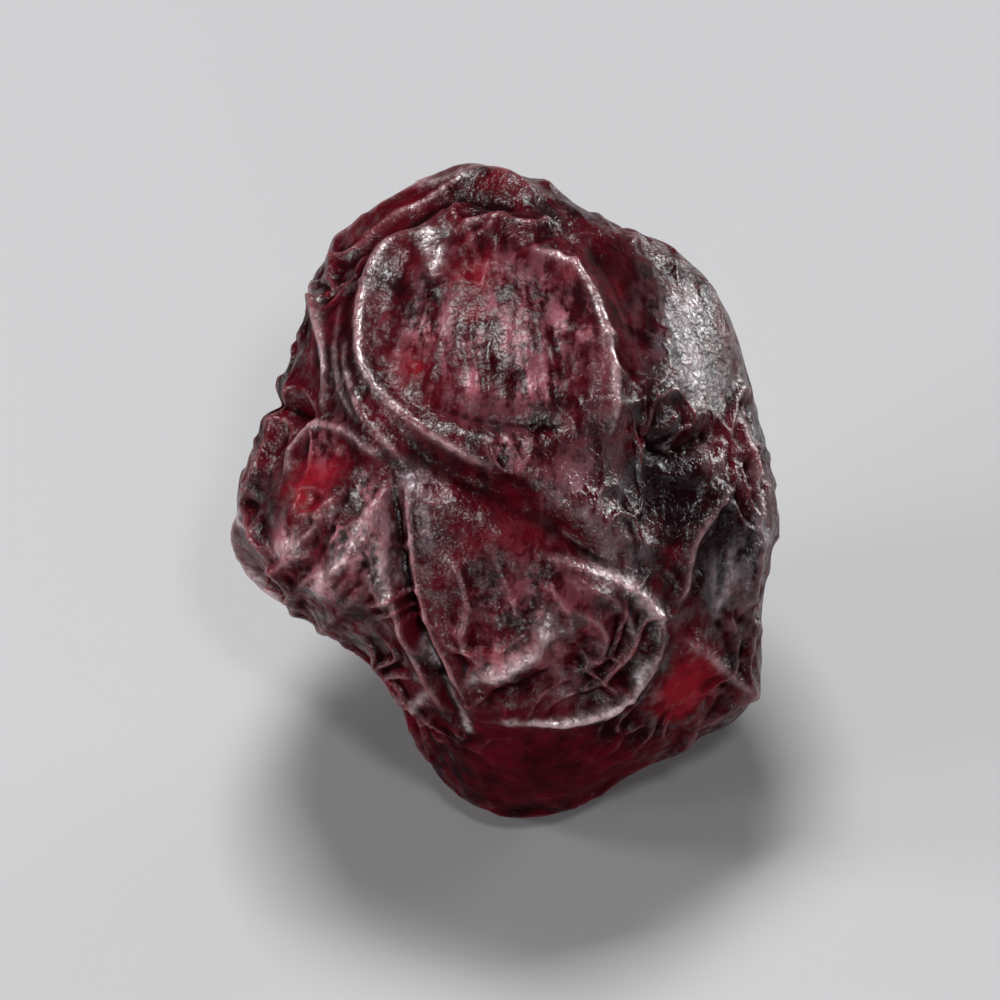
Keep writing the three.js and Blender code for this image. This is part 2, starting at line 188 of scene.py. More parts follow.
# Finer folds between the large ones, on the front
FINE_RIDGES = [
    # The thin ridge along the upper panel's top
    (FRONT, 0.24, 0.16, [(-1.2, 6.05), (-0.3, 6.2), (0.7, 6.15), (1.1, 6.4)]),
    # The two lines of the double crease
    (FRONT, 0.3, 0.14,
        [(-2.62, 0.7), (-2.56, -0.5), (-2.5, -1.7), (-2.2, -2.8), (-1.8, -3.7), (-1.3, -4.7)]),
    (FRONT, 0.3, 0.14,
        [(-2.08, 0.7), (-2, -0.5), (-1.9, -1.6), (-1.6, -2.7), (-1.2, -3.6), (-0.75, -4.6)]),
    (FRONT, 0.2, 0.16, [(-2.9, -3.4), (-2.5, -4), (-2, -4.35), (-1.45, -4.7)]),
    # The second line of the outer pleat
    (FRONT, 0.14, 0.13, [(-3.6, 4.6), (-3.62, 3.6), (-3.55, 2.6), (-3.3, 1.9)]),
    # Folds that follow the lower panel's rim inside it
    (FRONT, 0.24, 0.17, [(1.2, -1.6), (2.3, -2.1), (2.85, -2.9), (2.2, -3.9), (0.9, -4.3)]),
    (FRONT, 0.22, 0.16, [(1.2, -2.2), (2, -2.6), (2.25, -3.2), (1.7, -3.8)]),
    (FRONT, 0.18, 0.16, [(0.9, -1.7), (1.35, -2.3), (1.5, -3)]),
    (FRONT, 0.2, 0.16, [(-1.2, -1), (-0.8, -2.1), (-0.9, -3.1), (-0.4, -3.6)]),
    (FRONT, 0.16, 0.15, [(-0.3, -0.9), (0.1, -1.9), (0.4, -2.6)]),
    # Slanting folds of the left bulge
    (FRONT, 0.2, 0.2, [(-5, -1.2), (-4.5, -0.95), (-3.9, -0.3), (-3.5, 0.1)]),
    (FRONT, 0.26, 0.22, [(-4.1, -2.2), (-3.75, -1.6), (-3.3, -1.1), (-2.95, -0.4)]),
    (FRONT, 0.2, 0.2, [(-3.4, -2.6), (-3.1, -2), (-2.9, -1.4)]),
    (FRONT, 0.22, 0.16, [(-2.75, 0.3), (-2.8, -0.8), (-2.75, -1.8), (-2.6, -2.5)]),
    (FRONT, 0.16, 0.12, [(-4.2, -0.45), (-3.85, -0.05), (-3.5, 0.1)]),
    (FRONT, 0.18, 0.12, [(-3.95, -1.05), (-3.5, -0.6), (-3.05, -0.35), (-2.8, 0.1)]),
    (FRONT, 0.18, 0.12, [(-3.65, -2.2), (-3.3, -1.6), (-3.05, -1.05), (-2.85, -0.5)]),
    (FRONT, 0.16, 0.12, [(-5, -1.6), (-4.55, -1.25), (-4.1, -1.15)]),
    (FRONT, 0.15, 0.12, [(-4.7, -2.1), (-4.3, -1.75), (-3.9, -1.5)]),
    # The second line inside the berry's lower left edge, and the one under the rolled lip
    (FRONT, 0.24, 0.14, [(-5.5, 0.1), (-5.35, -0.9), (-4.75, -1.95), (-3.8, -2.75), (-2.9, -3.2)]),
    (FRONT, 0.24, 0.14, [(-4.2, 4.7), (-3.5, 5.55), (-2.6, 6.2), (-1.6, 6.7), (-0.5, 6.95)]),
]
FINE_GROOVES = [
    # The dark line across the upper panel's foot
    (FRONT, 0.22, 0.26, [(-1.7, 2.2), (-0.5, 1.85), (0.6, 1.75), (1.6, 1.7)]),
    # The hollow below the lower panel's soft fold
    (FRONT, 0.24, 0.3, [(-0.5, -4.5), (0.4, -4.15), (1.2, -3.6)]),
    # The notch above the left bulge
    (FRONT, 0.3, 0.22, [(-5.4, 1.9), (-4.6, 1.95), (-3.9, 1.75)]),
]

# Pale streaks painted on the front as highlights: strength, half width in mm, and the places that they run
# through
HIGHLIGHT_STREAKS = [
    # The lower panel: its soft fold, and its rim above, at the right and below
    (0.7, 0.22, [(-0.6, -3.95), (0.1, -3.6), (0.75, -3.2), (0.95, -2.6)]),
    (1.3, 0.09, [(-0.5, -3.95), (0.1, -3.62), (0.7, -3.3)]),
    (0.6, 0.18, [(1.9, -1.45), (2.7, -1.8), (3.3, -2.4)]),
    (1.2, 0.08, [(2.3, -1.6), (2.9, -1.95), (3.3, -2.35)]),
    (0.8, 0.12, [(3.1, -3.6), (2.5, -4.4), (1.3, -4.8), (0.1, -4.9)]),
    # The upper panel's left shoulder, and its rim at the left and the right
    (0.55, 0.2, [(-1.8, 6.1), (-1.55, 5.7), (-1.5, 5.2)]),
    (0.3, 0.09, [(-2.5, 5.55), (-2.95, 4.4), (-2.95, 3), (-2.3, 2.05)]),
    (0.5, 0.09, [(0.9, 5.6), (1.75, 4.8), (2.3, 3.2), (2.35, 1.6)]),
    # The outer pleat and the edge of the rolled lip
    (0.3, 0.09, [(-4.05, 4.7), (-3.9, 3.5), (-3.85, 2.1)]),
    (0.22, 0.07, [(-3.62, 3.4), (-3.52, 2.6), (-3.3, 1.9)]),
    (0.6, 0.13, [(-4.6, 4.7), (-3.3, 6.1), (-1.7, 7), (-0.4, 7.3)]),
    # The berry's lower left edge, the left bulge, and the small folds below it
    (0.75, 0.15, [(-5.9, 0.2), (-5.88, -0.2), (-5.75, -0.65)]),
    (0.8, 0.15, [(-5.75, -1.3), (-5.25, -2.05), (-4.5, -2.65), (-3.7, -3.2)]),
    (0.45, 0.22, [(-4.1, -2.1), (-3.7, -1.5), (-3.2, -0.9), (-2.8, -0.1)]),
    (0.6, 0.2, [(-5, -1.1), (-4.5, -0.95)]),
    (0.6, 0.12, [(-2.6, -0.9), (-2.5, -1.6), (-2.55, -2.2)]),
    (0.6, 0.09, [(-2.95, -3.3), (-2.65, -3.8), (-2.15, -4.1), (-1.6, -4.15)]),
    (0.9, 0.09, [(-1.3, -4.15), (-1, -4.65), (-0.75, -5.15)]),
    (0.6, 0.08, [(-1.8, -3.1), (-1.5, -3.8)]),
    # The crumpled right flank
    (0.5, 0.13, [(5.1, -1.2), (5, -1.9), (4.8, -2.6)]),
    (0.4, 0.12, [(5.55, 0.6), (5.8, -0.6), (5.7, -1.8)]),
]

# Smooth panels of the front: place, radius, and the share of the wrinkles that is left there
SMOOTH_PANELS = [
    ((-0.3, 3.6), 2.8, 0.03),
    ((2.9, 4.6), 1.6, 0.12),
    ((1.5, 6.4), 1.5, 0.15),
    ((-3.7, 3.4), 1.6, 0.3),
    ((-2.3, 6), 1.6, 0.3),
    ((0.3, 6.6), 1.2, 0.4),
    ((4.1, 3.6), 1.9, 0.05),
    ((5.3, 0), 2.4, 0.25),
    ((-4.1, -0.8), 2, 0.25),
    ((0.7, -2.6), 2.6, 0.2),
    ((1.8, 0.6), 1.6, 0.1),
    ((0.8, -6), 2.4, 0.25),
]

# The shares of a panel's radius between which its edge fades
PANEL_FADE = (0.75, 1.15)

# What is left of the wrinkles where the skin is stretched around the berry's widest part
STRETCHED_LEFT = 0.45

# The upper panel is finely pleated along the berry: its place, half width and half length
PLEATED_PLACE = (-0.3, 3.9)
PLEATED_SIZE = (2.5, 2.2)

# Patches where the flesh shines through the skin: place, radius and strength
RUBY_PATCHES = [
    ((-3.9, 1), 0.9, 0.5),
    ((-4.3, 0.4), 1, 0.9),
    ((2.7, 4.6), 1.4, 0.45),
    ((4.1, -4.2), 1, 1.3),
    ((0.2, 6.9), 1, 0.6),
    ((-0.65, 5.1), 0.6, 0.9),
    ((-0.7, 4.2), 0.5, 0.6),
    ((-2.1, 3.05), 0.6, 0.8),
    ((0.4, -0.4), 1.6, 0.4),
    ((-0.8, 0.5), 0.6, 0.4),
    ((1.6, -0.95), 0.6, 0.5),
    ((0.4, -5.9), 1.8, 0.2),
    ((-3.3, 4.2), 0.8, 0.4),
]

# Patches without the finer wrinkles
UNCREASED_PATCHES = [
    ((-0.3, 4), 2.4, 1.4),
    ((4.1, 3.6), 1.3, 1.2),
    ((2.6, 4.8), 1, 0.9),
    ((0.5, -0.5), 1.3, 0.9),
    ((-1.1, 0.7), 0.7, 0.9),
    ((1.9, -1.3), 0.7, 0.9),
    ((-3.9, 0.9), 0.9, 1),
    ((4.1, -4.3), 0.9, 0.9),
    ((-4.2, -0.9), 1.4, 0.7),
    ((5, -1.5), 1, 0.6),
    ((3.5, 0.1), 1.1, 0.9),
    ((0.8, -6.2), 2, 0.9),
]

# Dull patches: place, radius and strength
DULL_PATCHES = [
    ((0.6, -6.4), 3.2, 0.9),
    ((4.1, -4.2), 1.1, 0.6),
    ((-3, -5), 2, 1),
    ((2.7, 4.6), 1.5, 1.5),
    ((-3.9, 0.9), 1.1, 0.6),
    ((0.5, -0.5), 1.2, 0.6),
    ((0.8, -3), 2.6, 0.3),
    ((-4, -1.6), 2, 0.3),
    ((4.9, -1.4), 1.6, 0.3),
    ((-3.7, 3.6), 1.2, 0.7),
    ((-2.2, 6.2), 1.3, 0.5),
]

# Patches with a pinkish bloom, partly the skin's own bloom and partly painted highlight; patches of
# painted grey sheen, a reflection laid into the colour; and nearly black patches, partly the skin's own
# darkest tone and partly painted shade
BLOOM_AND_HIGHLIGHT_PATCHES = [
    ((-0.1, 3.9), 2, 0.9),
    ((-1.65, 3.9), 0.5, 1.3),
    ((-0.65, 2.7), 0.4, 1.3),
    ((0.5, 4.3), 0.35, 1.2),
    ((1.5, 4), 0.6, 1.3),
    ((0.7, 2.6), 0.6, 1.25),
    ((0.2, 1.1), 0.5, 0.9),
    ((-3.9, 1.3), 0.6, 0.8),
    ((-3.05, 0.1), 0.5, 1.3),
    ((-3.2, -0.8), 0.8, 1.1),
    ((-3.9, -1.9), 0.5, 1),
    ((-4.8, -0.95), 0.5, 1),
    ((1, -2.7), 1.7, 0.6),
    ((1.5, 0.4), 0.9, 0.5),
    ((0.2, -3.4), 0.7, 0.9),
]
SHEEN_PATCHES = [
    ((-0.1, 3.9), 1.8, 0.22),
    ((4.1, 3.6), 1.2, 0.9),
    ((5, -1.7), 0.55, 1.6),
    ((5.7, -0.8), 0.6, 1.4),
    ((4.9, 0.9), 0.5, 1.2),
    ((2, 0), 1, 0.7),
    ((2.7, -0.9), 0.7, 0.7),
    ((-1.95, 0.3), 0.45, 1.2),
    ((-1.85, -0.5), 0.45, 1.5),
    ((-2.35, -0.4), 0.4, 1.1),
    ((-2.25, -1.5), 0.4, 0.9),
]
NEAR_BLACK_AND_SHADE_PATCHES = [
    ((3.7, 0.3), 1.3, 1),
    ((4.9, -1), 1.8, 0.9),
    ((3.1, 2.2), 0.8, 0.6),
    ((2.8, 4.9), 1.1, 0.4),
    ((-3.4, 3), 1.2, 0.6),
    ((-1.6, -3.6), 0.9, 0.5),
    ((-2.5, 5), 0.5, 0.6),
    ((-3.3, -2.4), 0.5, 0.7),
    ((0.4, -4.2), 0.5, 0.6),
    ((0.8, -6.3), 2.2, 0.45),
    ((-4.9, -1.8), 0.45, 0.8),
    ((-4.2, -2.55), 0.4, 0.7),
]

# The net of smaller wrinkles over the whole skin, and the finer net of creases between them: the number
# of cells, the width of a ridge in mm and the share of its height in a narrow crest, how far its lines
# are bent, the pitch in mm of the bends and of its uneven height, and the seed of its draws
WRINKLES = {
    "cells": 90,
    "width": 0.5,
    "crest_share": 0.18,
    "bend": 0.09,
    "bend_pitch": 4.5,
    "strength_pitch": 6,
    "seed": 41,
}
CREASES = {
    "cells": 320,
    "width": 0.23,
    "crest_share": 0.1,
    "bend": 0.05,
    "bend_pitch": 1.6,
    "strength_pitch": 2.5,
    "seed": 97,
}
WRINKLE_HEIGHT = 0.42
CREASE_HEIGHT = 0.24

# How far each cell of a net is pushed from its even place, as a share of the gap between cells. How many
# waves make up each field that bends or weakens a net. The width of a ridge's narrow crest beside its
# own. The share of a ridge's height at which the plain skin lies.
CELL_PUSH = 0.7
FIELD_WAVES = 12
NARROW_CREST = 0.4
NET_LEVEL = 0.35

# A net's uneven strength: its mean, its swing, and the least and the most of it
NET_STRENGTH = 0.6
NET_SWING = 0.5
NET_RANGE = (0.05, 1.2)

# What is left of the creases on the back, and where the wrinkles are calm
BACK_CREASES = 0.45
CALM_CREASES = 0.4

# The fine pleats that run along the berry, in two sizes: height, how close they are across and along,
# how far they sway, and how round their crests are. PANEL_PLEATS is how much stronger they are on the
# pleated panel.
PLEAT_HEIGHT = 0.05
PLEAT_SIZES = [
    (1.4, 1.8, 0.4, 0.5, 0.002),
    (0.8, 3.4, 0.7, 1, 0.004),
]
PLEAT_LEVEL = 0.3
PLEAT_SWAY = 0.5
PLEAT_STRENGTH = 0.8
PANEL_PLEATS = 1.1

# Short creases that slant up to the right, on the left bulge and around it: place, radius and strength
CRUMPLED_PATCHES = [
    ((-3.2, -0.7), 1.2, 1),
    ((-4.6, -1.2), 0.8, 0.7),
    ((-1.9, 0.1), 0.7, 0.7),
    ((-3.2, -2.6), 1, 0.6),
    ((5, 0.6), 1.2, 0.6),
    ((5.3, -1.6), 1, 0.8),
    ((1.6, -3), 1.5, 0.4),
]
CRUMPLE_HEIGHT = 0.26
CRUMPLE_SLANT_DEG = 52
CRUMPLE_LENGTH = 1.1
CRUMPLE_GAP = 0.36
CRUMPLE_SWAY = 0.9
CRUMPLE_SWAY_PITCH = 1.2
CRUMPLE_LEVEL = 0.25
CRUMPLE_ROUNDING = 0.001

# The seed of the noise that sways the pleats and the slanting creases, the same for each run
SWAY_SEED = 3

# The share of a patch below which nothing of it shows
LEAST_SHARE = 0.02

# How much closer together the skin's corners are on the front than they would be if spread evenly
FRONT_CROWDING = 1.4

# The round scar of the flower end: a dish with a torn rim, an inner ring with a stub in it, fine spokes,
# and pleats around it. Waves around it are given by their height, their count and their start.
SCAR_FACING = (0.12, 0.7, -0.7)
SCAR_RADIUS = 1.15
SCAR_DEPTH = 0.45
SCAR_RIM_HEIGHT = 0.22
SCAR_RIM_WIDTH = 0.32
RIM_TEARS = [(0.5, 5, 1), (0.4, 13, 0), (0.25, 22, 2)]
RIM_SHARE = 0.96
RIM_WAVES = [(0.06, 4, 0), (0.04, 9, 0.7)]
RING_SHARE = 0.5
RING_WAVES = [(0.06, 3, 0)]
RING_TEARS = [(0.5, 7, 0)]
RING_HEIGHT = 0.13
RING_WIDTH = 0.1
STUB_HEIGHT = 0.14
STUB_WIDTH = 0.14
SPOKES = 29
SPOKE_HEIGHT = 0.05
SPOKE_WIDTH = 0.28
SCAR_PLEATS = 9
SCAR_PLEAT_HEIGHT = 0.14

# The scar's stain has a wavy edge, and its rim and its inner ring show as lines of cork
STAIN_WAVES = [(0.08, 6, 0)]
RIM_LINE_WIDTH = 0.14
RING_LINE = 0.6

# The corners' bulge is measured against this many rounds of smoothing, in units of this many mm
BULGE_ROUNDS = 8
BULGE_UNIT = 0.05

# The tones of the skin and of the table, as shares of the light that they give back
TONES = {
    "darkest burgundy": (0.0095, 0.0004, 0.0014),
    "burgundy": (0.043, 0.0011, 0.004),
    "red mottle": (0.12, 0.003, 0.01),
    # Partly the skin's own darkest tone, partly painted shade
    "near black": (0.005, 0.0006, 0.0014),
    "ruby": (0.19, 0.006, 0.013),
    # Partly the skin's own pale bloom, partly painted highlight
    "pinkish bloom": (0.38, 0.11, 0.145),
    # Painted reflection: a grey sheen laid into the colour
    "grey sheen": (0.25, 0.19, 0.215),
    # A paler red on crests: partly the thin skin there, partly painted highlight
    "crest": (0.3, 0.06, 0.08),
    # Painted shade, laid into the hollows and creases
    "hollow": (0.006, 0.0004, 0.001),
    # Pale line along the crests: partly the paler thin skin, partly painted highlight
    "rim": (0.54, 0.3, 0.33),
    # Painted highlight: the pale streaks
    "streak": (0.64, 0.45, 0.47),
    "scar": (0.035, 0.003, 0.002),
    "scar fibres": (0.17, 0.026, 0.012),
    "cork": (0.34, 0.12, 0.06),
    "pale table": (0.4, 0.4, 0.41),
}

# The sockets of a node that mixes two colours
MIX_SHARE = 0
MIX_FIRST = 6
MIX_SECOND = 7
MIX_RESULT = 2

# The studio, in metres. The camera has a long lens at the photo's height of view, straight in front, and
# aims a hair to the left of the berry's middle.
TABLE_HALF_WIDTH = 1.5
VIEW_ELEVATION_DEG = 42
LENS_MM = 480
CAMERA_DISTANCE = 0.3
AIM_SHIFT = -0.12 * MM

# Soft lights: name, direction from the berry, width, height and power, and the faint light of the room
LAMP_DISTANCE = 0.35
LAMP_AIM = Vector((0, 0, 0.007))
LAMPS = [
    ("overhead", (-0.1, 0.3, 1), 0.12, 0.12, 1.3),
    ("right and behind", (0.74, 0.66, 0.1), 0.14, 0.05, 0.7),
    ("left", (-0.95, -0.1, 0.4), 0.08, 0.06, 0.45),
    ("front", (0.12, -0.62, 0.78), 0.03, 0.03, 0.3),
    ("low in front", (0.12, -0.98, 0.1), 0.1, 0.025, 0.4),
    ("low left", (-0.86, -0.42, 0.26), 0.06, 0.06, 0.3),
]
ROOM_LIGHT = 0.035


def unit(numbers):
    numbers = np.asarray(numbers, float)
    return numbers / np.linalg.norm(numbers, axis=-1, keepdims=True)


def smoothstep(x, low, high):
    share = np.clip((x - low) / (high - low), 0, 1)
    return share * share * (3 - 2 * share)


def bell(distance, width):
    return np.exp(-((distance / width) ** 2))


def draws_from(seed):
    """Repeatable draws from 0 to 1."""
    state = seed

    def draw():
        nonlocal state
        state = state * 16807 % 2147483647
        return state / 2147483647

    return draw


def waves_of(count, pitch, draw):
    """A smooth field that swings around 0 over the skin, made of plane waves in drawn directions."""
    runs, starts = [], []
    for _ in range(count):
        up = 2 * draw() - 1
        turn = 2 * math.pi * draw()
        flat = math.sqrt(1 - up * up)
        runs.append((flat * math.cos(turn), flat * math.sin(turn), up))
        starts.append(2 * math.pi * draw())
    runs = np.array(runs) * 2 * math.pi / pitch
    starts = np.array(starts)
    return lambda p: np.cos(p @ runs.T + starts).sum(-1) * math.sqrt(2 / count)


def main_reach(facing):
    """How far the egg reaches in each direction, with its pressed sides, swellings and hollows."""
    facing = np.atleast_2d(facing)
    egg = 1 / np.linalg.norm(facing / HALF, axis=1)
    total = egg**-ROUNDING_POWER
    for side, left in PRESSED_SIDES:
        out = unit(side)
        distance = left * np.linalg.norm(out * HALF)
        total += (np.maximum(facing @ out, 0) / distance) ** ROUNDING_POWER
    reach = total ** (-1 / ROUNDING_POWER)
    for middle, height, spread in SWELLINGS:
        angle = np.arccos(np.clip(facing @ unit(middle), -1, 1))
        reach += height * bell(angle, math.radians(spread))
    return reach


def onto_main_form(points):
    facing = unit(np.atleast_2d(points))
    return facing * main_reach(facing)[:, None]


def point_seen_at(place, side, rounds=12):
    """The point of the main form that is seen at a place, in mm across and along, from its side."""
    across, along = place
    seen = np.array([across, along, 0.0])
    for _ in range(rounds):
        reach = main_reach(unit(seen))[0]
        seen[2] = side * math.sqrt(max(reach**2 - across**2 - along**2, 0))
    return onto_main_form(seen)[0]


def smooth_curve(points, steps):
    """Points along a Catmull-Rom curve through the given ones, with this many steps in each span."""
    ends = [2 * points[0] - points[1], *points, 2 * points[-1] - points[-2]]
    found = []
    for a, b, c, d in zip(ends, ends[1:], ends[2:], ends[3:]):
        for step in range(steps):
            s = step / steps
            pull = (c - a) * s + (2 * a - 5 * b + 4 * c - d) * s**2 + (3 * b - a - 3 * c + d) * s**3
            found.append(b + pull / 2)
    return np.array([*found, points[-1]])


def course_of(side, through, steps=6):
    places = [point_seen_at(place, side) for place in through]
    return onto_main_form(smooth_curve(places, steps))


def measure_from(course, points):
    """How far each point is from a course, and how far along it the nearest point lies, from 0 to 1."""
    best = np.full(len(points), np.inf)
    along = np.zeros(len(points))
    for i, (start, end) in enumerate(zip(course, course[1:])):
        step = end - start
        share = np.clip((points - start) @ step / (step @ step), 0, 1)
        distance = np.linalg.norm(points - start - share[:, None] * step, axis=1)
        nearer = distance < best
        best[nearer] = distance[nearer]
        along[nearer] = (i + share[nearer]) / (len(course) - 1)
    return best, along


def near(course, points):
    """Which points lie near enough to a course to feel it."""
    middle = course.mean(0)
    radius = np.linalg.norm(course - middle, axis=1).max() + FOLD_MARGIN
    return np.linalg.norm(points - middle, axis=1) < radius


def crest_section(distance, reach):
    """A broad shoulder with a narrow crest on it."""
    shoulder = SHOULDER_SHARE * bell(distance, SHOULDER_WIDTH * reach)
    return shoulder + (1 - SHOULDER_SHARE) * bell(distance, CREST_WIDTH * reach)


def crease_section(distance, reach):
    """A hollow with a narrow cut in it, between two raised lips."""
    lips = LIP_SHARE * bell(distance - 2 * reach, reach)
    hollow = HOLLOW_SHARE * bell(distance, HOLLOW_WIDTH * reach)
    return lips - hollow - (1 - HOLLOW_SHARE) * bell(distance, CUT_WIDTH * reach)


def fold_relief(points, folds, section, rims=None):
    """The height that a list of folds gives each point. The narrow crests are also marked in rims."""
    relief = np.zeros(len(points))
    for side, height, reach, through in folds:
        course = course_of(side, through)
        close = near(course, points)
        distance, along = measure_from(course, points[close])
        fade = smoothstep(np.minimum(along, 1 - along), -0.02, FADE_SHARE)
        relief[close] += height * section(distance, reach) * fade
        if rims is not None:
            strength = min(height / FULL_LINE_HEIGHT, 1) ** LINE_POWER
            line = bell(distance, LINE_SHARE * reach) * fade * strength
            rims[close] = np.maximum(rims[close], line)
    return relief


def cell_centres(count, draw):
    """Cells spread evenly over the sphere by the golden angle, each pushed a little from its place."""
    golden = math.pi * (3 - math.sqrt(5))
    gap = math.sqrt(4 * math.pi / count)
    centres = []
    for i in range(count):
        up = 1 - (2 * i + 1) / count
        flat = math.sqrt(1 - up * up)
        centre = np.array([flat * math.cos(golden * i), flat * math.sin(golden * i), up])
        push = np.array([draw() - 0.5, draw() - 0.5, draw() - 0.5])
        centres.append(unit(centre + push * CELL_PUSH * gap))
    return np.array(centres)


def edge_distance(facing, centres, batch=8000):
    """How far each direction is from the nearest line where two cells meet, in mm."""
    found = np.empty(len(facing))
    for start in range(0, len(facing), batch):
        part = facing[start : start + batch]
        gaps = np.sqrt(np.maximum(2 - 2 * part @ centres.T, 0))
        nearest = np.partition(gaps, 1, axis=1)
        found[start : start + batch] = nearest[:, 1] - nearest[:, 0]
    return found * MEAN_RADIUS


def net_relief(facing, points, cells, width, crest_share, bend, bend_pitch, strength_pitch, seed):
    """A net of wrinkles: a ridge wherever two cells meet, bent by slow waves and of uneven height."""
    draw = draws_from(seed)
    centres = cell_centres(cells, draw)
    bends = [waves_of(FIELD_WAVES, bend_pitch, draw) for _ in range(3)]
    strength = waves_of(FIELD_WAVES, strength_pitch, draw)
    bent = unit(facing + bend * np.stack([wave(points) for wave in bends], 1))
    distance = edge_distance(bent, centres)
    ridge = (1 - crest_share) * bell(distance, width)
    ridge += crest_share * bell(distance, NARROW_CREST * width)
    return (ridge - NET_LEVEL) * np.clip(NET_STRENGTH + NET_SWING * strength(points), *NET_RANGE)


def wrinkles_left(points):
    share = np.ones(len(points))
    inner, outer = PANEL_FADE
    for place, radius, left in SMOOTH_PANELS:
        distance = np.linalg.norm(points - point_seen_at(place, FRONT), axis=1)
        share *= 1 - (1 - left) * (1 - smoothstep(distance, inner * radius, outer * radius))
    return share


def scar_measures(points):
    """How far each point is from the scar's middle, and its angle around it."""
    facing = unit(SCAR_FACING)
    middle = onto_main_form(facing)[0]
    across = unit(np.cross((1, 0, 0), facing))
    along = np.cross(facing, across)
    away = points - middle
    return np.linalg.norm(away, axis=1), np.arctan2(away @ along, away @ across)


def waves_around(turn, waves):
    return sum(height * np.sin(count * turn + start) for height, count, start in waves)


def scar_relief(distance, turn):
    """A dish with a torn rim, an inner ring with a stub in it, fine spokes, and pleats around it."""
    dish = 1 - smoothstep(distance, 0.35 * SCAR_RADIUS, SCAR_RADIUS)
    edge = SCAR_RADIUS * (RIM_SHARE + waves_around(turn, RIM_WAVES))
    rim = bell(distance - edge, 0.45 * SCAR_RIM_WIDTH) * (1 + waves_around(turn, RIM_TEARS))
    shoulder = bell(distance - SCAR_RADIUS, SCAR_RIM_WIDTH)
    ring_edge = SCAR_RADIUS * (RING_SHARE + waves_around(turn, RING_WAVES))
    ring = bell(distance - ring_edge, RING_WIDTH) * (1 + waves_around(turn, RING_TEARS))
    spokes = np.sin(SPOKES * turn) * bell(distance - 0.75 * SCAR_RADIUS, SPOKE_WIDTH)
    pleats = np.cos(SCAR_PLEATS * turn) * bell(distance - 2 * SCAR_RADIUS, 0.7 * SCAR_RADIUS)
    relief = SCAR_RIM_HEIGHT * (rim + shoulder) / 2 - SCAR_DEPTH * dish + RING_HEIGHT * ring
    relief += STUB_HEIGHT * bell(distance, STUB_WIDTH)
    return relief + SPOKE_HEIGHT * spokes + SCAR_PLEAT_HEIGHT * pleats


def fine_pleats(points):
    """Fine pleats that run along the berry and gather at its ends, with rounded crests."""
    heights = np.zeros(len(points))
    around = np.hypot(points[:, 0], points[:, 2])
    for i, (x, v, t) in enumerate(points):
        turn = MEAN_RADIUS / max(around[i], 0.1)
        place = Vector((x * turn, v, t * turn))
        sway = noise.noise_vector(place * PLEAT_SWAY)
        for height, across, along, pull, rounding in PLEAT_SIZES:
            wave = noise.noise(Vector((place.x * across, v * along, place.z * across)) + sway * pull)
            heights[i] += height * (PLEAT_LEVEL - math.sqrt(wave**2 + rounding))
    return heights * smoothstep(around, 0.8, 3)


def slanting_creases(points):
    """Short creases with narrow crests between them, all slanting up to the right."""
    slant = math.radians(CRUMPLE_SLANT_DEG)
    heights = np.empty(len(points))
    for i, (x, v, t) in enumerate(points):
        along = (x * math.cos(slant) + v * math.sin(slant)) / CRUMPLE_LENGTH
        across = (v * math.cos(slant) - x * math.sin(slant)) / CRUMPLE_GAP
        sway = noise.noise_vector(Vector((x, v, t)) * CRUMPLE_SWAY_PITCH)
        wave = noise.noise(Vector((across, along, t)) + sway * CRUMPLE_SWAY)
        heights[i] = CRUMPLE_LEVEL - math.sqrt(wave**2 + CRUMPLE_ROUNDING)
    return heights


def crowd_to_front(facing):
    """Draws directions towards the front, all triangles keeping their shape."""
    x, v, t = facing.T
    front, back = 1 + t, (1 - t) / FRONT_CROWDING**2
    total = front + back
    flat = 2 / (FRONT_CROWDING * total)
    return np.stack([x * flat, v * flat, (front - back) / total], 1)


def lay_down(points):
    """Turns the berry from its own axes to the way it lies and presses the flat spot that it rests on."""
    rise = math.radians(RISE_DEG)
    x, v, t = points.T
    y = v * math.cos(rise) - t * math.sin(rise)
    z = v * math.sin(rise) + t * math.cos(rise)
    laid = np.stack([x, y, np.maximum(z - z.min() - FOOT_DEPTH, 0)], 1)
    low, high = laid.min(0), laid.max(0)
    laid[:, :2] -= (low[:2] + high[:2]) / 2
    return laid


def fit_inside(points, low, high):
    """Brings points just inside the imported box, by a hair at most."""
    middle = (low + high) / 2
    own_low, own_high = points.min(0), points.max(0)
    scale = np.minimum((high - low) / (own_high - own_low), 1)
    fitted = (points - (own_low + own_high) / 2) * scale + middle
    fitted[:, 2] = (points[:, 2] - own_low[2]) * scale[2] + low[2]
    return fitted


def patch_share(points, patches):
    """How much of a list of round patches each point has, fading from each patch's middle."""
    share = np.zeros(len(points))
    for place, radius, strength in patches:
        distance = np.linalg.norm(points - point_seen_at(place, FRONT), axis=1)
        share = np.maximum(share, strength * bell(distance, radius))
    return share


def pleated_share(points):
    x, v, t = points.T
    away = np.hypot((x - PLEATED_PLACE[0]) / PLEATED_SIZE[0], (v - PLEATED_PLACE[1]) / PLEATED_SIZE[1])
    return (1 - smoothstep(away, 0.8, 1.1)) * (t > 0)


def streak_share(points):
    share = np.zeros(len(points))
    for strength, half_width, through in HIGHLIGHT_STREAKS:
        away, along = measure_from(course_of(FRONT, through), points)
        ends = smoothstep(np.minimum(along, 1 - along), -0.3, 0.2)
        share = np.maximum(share, strength * bell(away, half_width) * ends)
    return share


